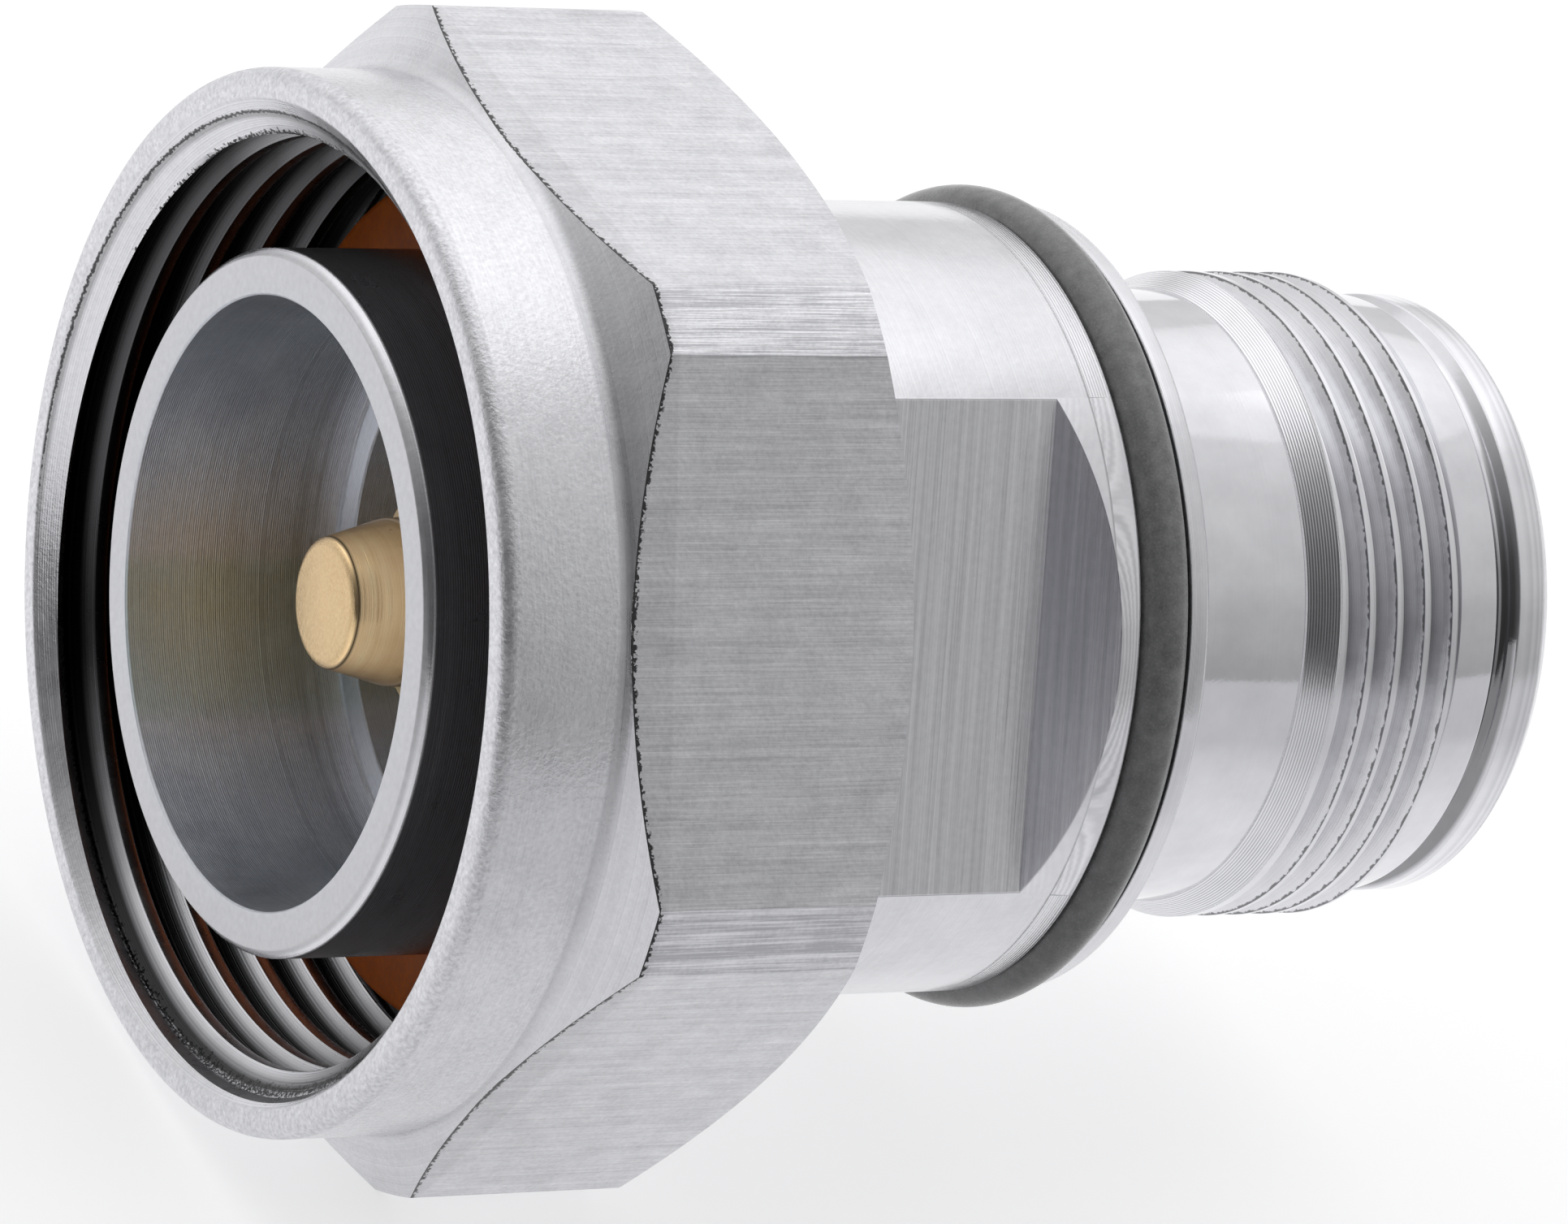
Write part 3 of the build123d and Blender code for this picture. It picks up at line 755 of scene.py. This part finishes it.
def makePlugBody(p):
    bm = turned(
        [
            (0, p["boreRadius"] + p["mouthChamfer"], p["mouthEdge"]),
            (0, p["tubeRadius"] - p["outerChamfer"], p["outerEdge"]),
            (p["outerChamfer"], p["tubeRadius"], p["outerEdge"]),
            (p["gasketFront"], p["tubeRadius"]),
            (p["gasketFront"], p["seatRadius"]),
            (p["collarFront"], p["seatRadius"]),
            (p["collarFront"], p["collarRadius"] - p["collarChamfer"]),
            (p["collarFront"] + p["collarChamfer"], p["collarRadius"]),
            (p["collarRear"], p["collarRadius"]),
            (p["collarRear"], p["barrelRadius"]),
            (p["bedFront"], p["barrelRadius"]),
            (p["bedFront"], p["bedRadius"]),
            (p["bedRear"], p["bedRadius"]),
            (p["bedRear"], p["barrelRadius"]),
            (p["barrelEnd"], p["barrelRadius"], p["barrelEdge"]),
            (p["barrelEnd"], p["pocketRadius"]),
            (p["pocketFront"], p["pocketRadius"]),
            (p["pocketFront"], p["lineRadius"]),
            (p["reference"], p["lineRadius"], p["lineEdge"]),
            (p["reference"], p["boreRadius"], p["cornerRound"]),
            (p["mouthChamfer"], p["boreRadius"], p["mouthEdge"]),
        ],
        p["columns"], closed=True,
    )
    body = finished(bm, "plug_body_machined", "adapter_body", "plug_body", bodyMaterial)
    for side in (0, 180):
        cutAway(body, flatCutter(p, side))
    return body


makePlugBody(plug)


jack = {
    "columns": 300,
    "spigotFront": 17.2, "spigotRadius": 8.28, "lineRadius": 5.05,
    "sealFront": 22.85, "sealRadius": 11.0,
    "flangeFront": 24.55, "flangeRear": 25.2, "flangeRadius": 12.1, "flangeEdge": 0.12,
    "undercutRadius": 9.45, "undercutRound": 0.1, "riseStart": 30.3, "riseEnd": 31.22,
    "threadPitch": 1.0, "threadCrest": 10.0, "threadRoot": 9.39, "threadEnd": 35.55,
    "grooveOrigin": 30.93, "grooveTurns": 5.5, "grooveTop": 10.05, "runIn": 75,
    "neckStart": 36.05, "neckRadius": 9.35,
    "grooveStart": 37.34, "grooveEnd": 38.18, "grooveDepth": 0.32, "grooveRound": 0.38,
    "end": 39.5, "endChamfer": 0.42, "endEdge": 0.06, "mouthChamfer": 0.25, "mouthEdge": 0.04, "edge": 0.05,
    "shellRadius": 8.05, "shellFloor": 31.0, "floorRound": 0.1,
    "contactRadius": 6.4, "contactBore": 5.6, "contactFront": 38.6, "contactRound": 0.15,
    "beadRear": 30.0,
}


def makeJackBody(j):
    middle = (j["grooveStart"] + j["grooveEnd"]) / 2
    bm = turned(
        [
            (j["riseEnd"], j["threadCrest"]),
            (j["threadEnd"], j["threadCrest"]),
            (j["neckStart"], j["neckRadius"]),
            (j["grooveStart"], j["neckRadius"], j["edge"]),
            (middle, j["neckRadius"] - 2 * j["grooveDepth"], j["grooveRound"]),
            (j["grooveEnd"], j["neckRadius"], j["edge"]),
            (j["end"] - j["endChamfer"], j["neckRadius"], j["endEdge"]),
            (j["end"], j["neckRadius"] - j["endChamfer"], j["edge"]),
            (j["end"], j["shellRadius"] + j["mouthChamfer"], j["mouthEdge"]),
            (j["end"] - j["mouthChamfer"], j["shellRadius"]),
            (j["shellFloor"], j["shellRadius"], j["floorRound"]),
            (j["shellFloor"], j["contactRadius"], j["floorRound"]),
            (j["contactFront"], j["contactRadius"], j["contactRound"]),
            (j["contactFront"], j["contactBore"], j["contactRound"]),
            (j["beadRear"], j["contactBore"]),
            (j["beadRear"], j["lineRadius"]),
            (j["spigotFront"], j["lineRadius"]),
            (j["spigotFront"], j["spigotRadius"]),
            (j["sealFront"], j["spigotRadius"]),
            (j["sealFront"], j["sealRadius"]),
            (j["flangeFront"], j["sealRadius"]),
            (j["flangeFront"], j["flangeRadius"], j["edge"]),
            (j["flangeRear"], j["flangeRadius"], j["flangeEdge"]),
            (j["flangeRear"], j["undercutRadius"], j["undercutRound"]),
            (j["riseStart"], j["undercutRadius"]),
        ],
        j["columns"], closed=True,
    )
    body = finished(bm, "jack_body_machined", "adapter_body", "jack_body", jackMaterial)
    root, top = j["threadRoot"], j["grooveTop"]
    groove = [(0.03, top), (0.42, root, 0.05), (0.56, root, 0.05), (0.96, top)]
    cutThread(body, groove, j["threadPitch"], j["grooveOrigin"], j["grooveTurns"], j["columns"], j["runIn"])
    return body


makeJackBody(jack)


pin = {
    "columns": 160,
    "tip": 2.04, "tipRadius": 1.9, "tipRound": 0.2, "taperEnd": 4.14, "taperRound": 0.2, "radius": 2.5,
    "shoulder": 5.62, "shoulderRadius": 3.5, "shoulderRound": 0.05, "shoulderEdge": 0.08,
    "beadFace": 13.38, "studRadius": 1.5, "studEnd": 22.2, "sharp": 30,
}


def makePin(p):
    bm = turned(
        [
            (p["tip"], 0),
            (p["tip"], p["tipRadius"], p["tipRound"]),
            (p["taperEnd"], p["radius"], p["taperRound"]),
            (p["shoulder"], p["radius"], p["shoulderRound"]),
            (p["shoulder"], p["shoulderRadius"], p["shoulderEdge"]),
            (p["beadFace"], p["shoulderRadius"]),
            (p["beadFace"], p["studRadius"]),
            (p["studEnd"], p["studRadius"]),
            (p["studEnd"], 0),
        ],
        p["columns"],
    )
    return finished(bm, "plug_pin_gilded", "adapter_body", "plug_pin", goldMaterial, p["sharp"])


makePin(pin)

socket = {
    "columns": 120,
    "rear": 17.2, "front": 37.9, "radius": 2.15, "boreRadius": 0.85, "boreFloor": 31.9, "chamfer": 0.2,
    "studHole": 1.52, "studFloor": 22.25,
    "slots": 4, "slotWidth": 0.25, "slotLength": 5.2, "sharp": 30,
}


def makeSocket(s):
    bm = turned(
        [
            (s["rear"], s["studHole"]),
            (s["rear"], s["radius"]),
            (s["front"], s["radius"], s["chamfer"]),
            (s["front"], s["boreRadius"], s["chamfer"]),
            (s["boreFloor"], s["boreRadius"]),
            (s["boreFloor"], 0),
        ],
        s["columns"],
    )
    studHole = [(s["rear"], s["studHole"]), (s["studFloor"], s["studHole"]), (s["studFloor"], 0)]
    join(bm, turned(studHole, s["columns"]))
    piece = finished(
        bm, "jack_socket_gilded", "adapter_body", "jack_socket", socketMaterial, s["sharp"]
    )
    for index in range(s["slots"] // 2):
        slot = bmesh.new()
        bmesh.ops.create_cube(slot, size=mm)
        through = s["radius"] * 3
        across = (through, s["slotWidth"]) if index else (s["slotWidth"], through)
        bmesh.ops.scale(slot, vec=(s["slotLength"] * 2, *across), verts=slot.verts[:])
        bmesh.ops.translate(slot, vec=(s["front"] * mm, 0, 0), verts=slot.verts[:])
        cutAway(piece, slot, s["sharp"])
    return piece


makeSocket(socket)


gasket = {
    "columns": 240, "front": 6.0, "rear": 7.58, "innerRadius": 10.22, "innerRound": 0.1,
    "outerRadius": 12.7, "round": 0.3, "rearRound": 0.15,
}
bm = turned(
    [
        (gasket["front"], gasket["innerRadius"], gasket["innerRound"]),
        (gasket["front"], gasket["outerRadius"], gasket["round"]),
        (gasket["rear"], gasket["outerRadius"], gasket["rearRound"]),
        (gasket["rear"], gasket["innerRadius"]),
    ],
    gasket["columns"], closed=True,
)
finished(bm, "face_gasket_moulded", "adapter_body", "face_gasket", siliconeMaterial, 40)

seal = {"section": 0.77, "x": 23.7, "centreRadius": 11.79, "steps": 40, "columns": 300}
bm = bmesh.new()
bmesh.ops.create_circle(bm, segments=seal["steps"], radius=seal["section"] * mm)
bmesh.ops.rotate(bm, cent=(0, 0, 0), matrix=Matrix.Rotation(math.pi / 2, 3, "X"), verts=bm.verts[:])
bmesh.ops.translate(bm, vec=(seal["x"] * mm, 0, seal["centreRadius"] * mm), verts=bm.verts[:])
bmesh.ops.spin(
    bm, geom=bm.verts[:] + bm.edges[:], cent=(0, 0, 0), axis=axle,
    angle=fullTurn, steps=seal["columns"], use_merge=True,
)
finished(bm, "weather_seal_moulded", "adapter_body", "weather_seal", rubberMaterial, 60)

plugBead = {"columns": 160, "front": 13.4, "rear": 17.18, "hole": 1.52, "radius": 8.28, "edge": 0.1}
jackBead = {"columns": 160, "front": 30.02, "rear": 32.52, "hole": 2.17, "radius": 5.58, "edge": 0.1}
for name, node, bead in (
    ("plug_insulator_turned", "plug_insulator", plugBead),
    ("jack_insulator_turned", "jack_insulator", jackBead),
):
    bm = turned(
        [
            (bead["front"], bead["hole"]),
            (bead["front"], bead["radius"], bead["edge"]),
            (bead["rear"], bead["radius"], bead["edge"]),
            (bead["rear"], bead["hole"]),
        ],
        bead["columns"], closed=True,
    )
    finished(bm, name, "adapter_body", node, plasticMaterial, 40)

# the snap ring is hidden, so the frame's own ring stays and only gets its material
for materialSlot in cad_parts["retaining_ring"].material_slots:
    materialSlot.material = ringMaterial


camera = {
    "place": (-118.3, -195.2, 129.5), "right": (0.8648, -0.4243, 0.2686), "up": (0.0101, 0.5495, 0.8355),
    "back": (-0.5020, -0.7198, 0.4794), "lens": 205.8, "sensor": 36.0, "near": 0.01, "far": 20,
}
lensData = bpy.data.cameras.new("camera")
lensData.sensor_fit = "HORIZONTAL"
lensData.sensor_width = camera["sensor"]
lensData.lens = camera["lens"]
lensData.clip_start = camera["near"]
lensData.clip_end = camera["far"]
eye = inScene("camera", lensData)
turnTo = Matrix((camera["right"], camera["up"], camera["back"])).transposed()
eye.matrix_world = Matrix.Translation(Vector(camera["place"]) * mm) @ turnTo.to_4x4()
scene = bpy.context.scene
scene.camera = eye


# the floor glows: for the camera it is a pale ground, in reflections a card that is brighter under the part
ground = {
    "height": -15.76, "halfSize": 3.0, "colour": (0.50, 0.50, 0.51, 1), "rough": 0.9, "specular": 0.1,
    "seen": 0.62, "inFront": 0.26, "under": 0.70, "frontY": -0.045, "underY": -0.005,
}
bm = bmesh.new()
bmesh.ops.create_grid(bm, x_segments=2, y_segments=2, size=ground["halfSize"])
bmesh.ops.translate(bm, vec=(0, 0, ground["height"] * mm), verts=bm.verts[:])
floorMesh = meshOf(bm, "floor")
floor = inScene("floor", floorMesh)
floorMaterial, tree, shader = startMaterial("paleFloor")
shader.inputs["Base Color"].default_value = ground["colour"]
shader.inputs["Roughness"].default_value = ground["rough"]
shader.inputs["Specular IOR Level"].default_value = ground["specular"]
path = put(tree, "ShaderNodeLightPath").outputs
mirrored = sums(tree, "MAXIMUM", path["Is Glossy Ray"], path["Is Transmission Ray"])
depth = apart(tree, objectPlace(tree))[1]
shine = spread(tree, depth, ground["frontY"], ground["underY"], ground["inFront"], ground["under"])
seen = product(tree, path["Is Camera Ray"], ground["seen"])
glow = put(tree, "ShaderNodeEmission", {"Strength": total(tree, seen, product(tree, mirrored, shine))})
both = put(tree, "ShaderNodeAddShader", {0: glow.outputs[0], 1: shader.outputs[0]})
tree.links.new(both.outputs[0], tree.nodes["Material Output"].inputs["Surface"])
floorMesh.materials.append(floorMaterial)


# a soft box overhead, brighter towards its middle, with a dark card to the left and in front of it;
# boxLevels are the cosine of the angle to the box's middle, and how bright it is there
studio = {
    "boxWay": (0.0, 0.55, 0.835),
    "boxLevels": (
        (-0.5, 0.42), (-0.15, 0.52), (0.1, 0.64), (0.45, 0.74), (0.70, 0.85), (0.722, 1.06), (0.85, 1.24),
    ),
    "boxPower": 2.0,
    "cardWay": (-0.76, -0.61, 0.23), "cardEdge": 0.15, "cardLevel": 0.16,
    "lampPlace": (0.05, 0.10, 0.45), "lampTarget": (0.018, 0, 0), "lampSize": (0.5, 0.35), "lampPower": 0.08,
}
world = bpy.data.worlds.new("studio")
scene.world = world
world.use_nodes = True
tree = world.node_tree
backdrop = tree.nodes["Background"]
ways = put(tree, "ShaderNodeTexCoord").outputs["Generated"]


def towards(direction):
    dot = put(tree, "ShaderNodeVectorMath", {0: ways, 1: direction}, operation="DOT_PRODUCT")
    return dot.outputs["Value"]


softbox = put(tree, "ShaderNodeValToRGB", {"Fac": spread(tree, towards(studio["boxWay"]), -1, 1)})
ramp = softbox.color_ramp
ramp.interpolation = "EASE"
while len(ramp.elements) < len(studio["boxLevels"]):
    ramp.elements.new(1.0)
for stop, (cosine, bright) in zip(ramp.elements, studio["boxLevels"]):
    stop.position = (cosine + 1) / 2
    stop.color = (*[bright / studio["boxPower"]] * 3, 1)
cardPlaces = {
    "Value": towards(studio["cardWay"]), "From Min": studio["cardEdge"], "From Max": 1.0,
    "To Min": 1.0, "To Max": studio["cardLevel"],
}
card = put(tree, "ShaderNodeMapRange", cardPlaces, interpolation_type="SMOOTHSTEP").outputs["Result"]
level = product(tree, softbox.outputs["Color"], studio["boxPower"], card)
shown = blended(tree, level, 1.0, put(tree, "ShaderNodeLightPath").outputs["Is Camera Ray"])
tree.links.new(shown, backdrop.inputs["Strength"])
backdrop.inputs["Color"].default_value = (1, 1, 1, 1)

lamp = bpy.data.lights.new("topPanel", "AREA")
lamp.shape = "RECTANGLE"
lamp.size, lamp.size_y = studio["lampSize"]
lamp.energy = studio["lampPower"]
panel = inScene("topPanel", lamp)
panel.location = studio["lampPlace"]
aim = Vector(studio["lampTarget"]) - Vector(studio["lampPlace"])
panel.rotation_euler = aim.to_track_quat("-Z", "Y").to_euler()

scene.view_settings.view_transform = "Standard"
print("studio ready")
